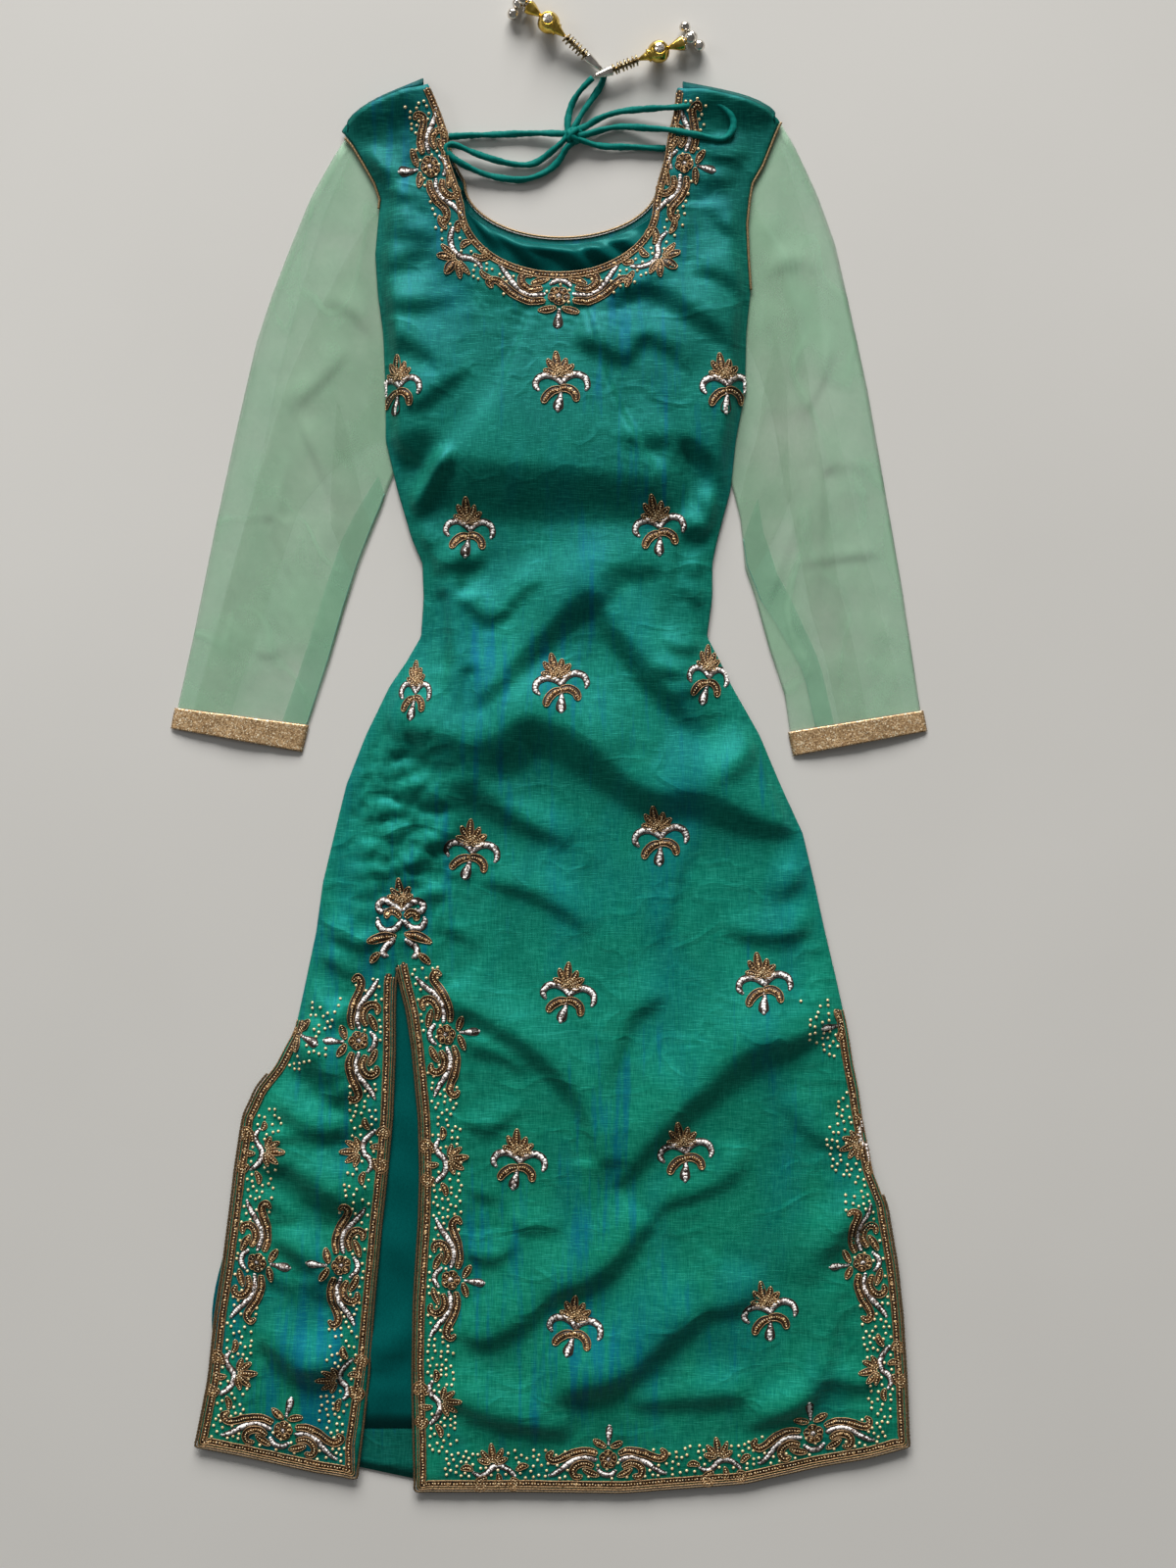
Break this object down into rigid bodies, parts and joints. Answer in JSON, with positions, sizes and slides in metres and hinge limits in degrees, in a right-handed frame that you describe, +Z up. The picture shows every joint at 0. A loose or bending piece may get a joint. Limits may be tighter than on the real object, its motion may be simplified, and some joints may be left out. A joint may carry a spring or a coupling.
{
  "type": "kurta",
  "caption": "Long silk kurta laid flat, with a scooped neck, one front slit, sheer long sleeves, piped edges and a tied neck cord ending in bead tassels.",
  "frame": {"origin": "middle of the laid garment on the surface that it lies on, leaving out the neck cords and their tassels", "axes": "+Z up off the surface, +Y towards the neck, +X towards the sleeve on the right as seen from above with the neck at the top"},
  "size_m": [0.5782, 1.1501, 0.0195],
  "materials": {
    "shot_silk": "teal and blue shot silk, slubbed weave, soft sheen",
    "lining_satin": "deep teal satin lining",
    "sheer_organza": "translucent mint organza",
    "gold_ribbon": "glittering bronze-gold ribbon",
    "gold_cord": "twisted metal-thread piping",
    "tie_cloth": "rolled teal silk cord",
    "antique_brass": "darkened brass discs",
    "gilt_metal": "bright gilt metal",
    "silver_metal": "silver-coloured plated metal"
  },
  "bodies": {
    "root": {"front_panel": "shot_silk", "back_panel": "shot_silk", "back_lining": "lining_satin", "back_hem_facing": "lining_satin", "sleeve_left": "sheer_organza", "sleeve_right": "sheer_organza", "cuff_left": "gold_ribbon", "cuff_right": "gold_ribbon", "piping_armhole_left": "gold_cord", "piping_armhole_right": "gold_cord", "piping_left_flap": "gold_cord", "piping_right_flap": "gold_cord", "piping_back_neck": "gold_cord", "tie_left": "tie_cloth", "tie_right": "tie_cloth", "loop_left": "tie_cloth", "loop_right": "tie_cloth", "tail_left": "tie_cloth", "tail_right": "tie_cloth", "tie_knot": "tie_cloth", "tassel_left_cone": "silver_metal", "tassel_left_discs": "antique_brass", "tassel_left_bead": "gilt_metal", "tassel_left_cap": "gilt_metal", "tassel_left_ball_1": "silver_metal", "tassel_left_ball_2": "silver_metal", "tassel_left_ball_3": "silver_metal", "tassel_left_ball_4": "silver_metal", "tassel_right_cone": "silver_metal", "tassel_right_discs": "antique_brass", "tassel_right_bead": "gilt_metal", "tassel_right_cap": "gilt_metal", "tassel_right_ball_1": "silver_metal", "tassel_right_ball_2": "silver_metal", "tassel_right_ball_3": "silver_metal", "tassel_right_ball_4": "silver_metal"}
  },
  "joints": []
}
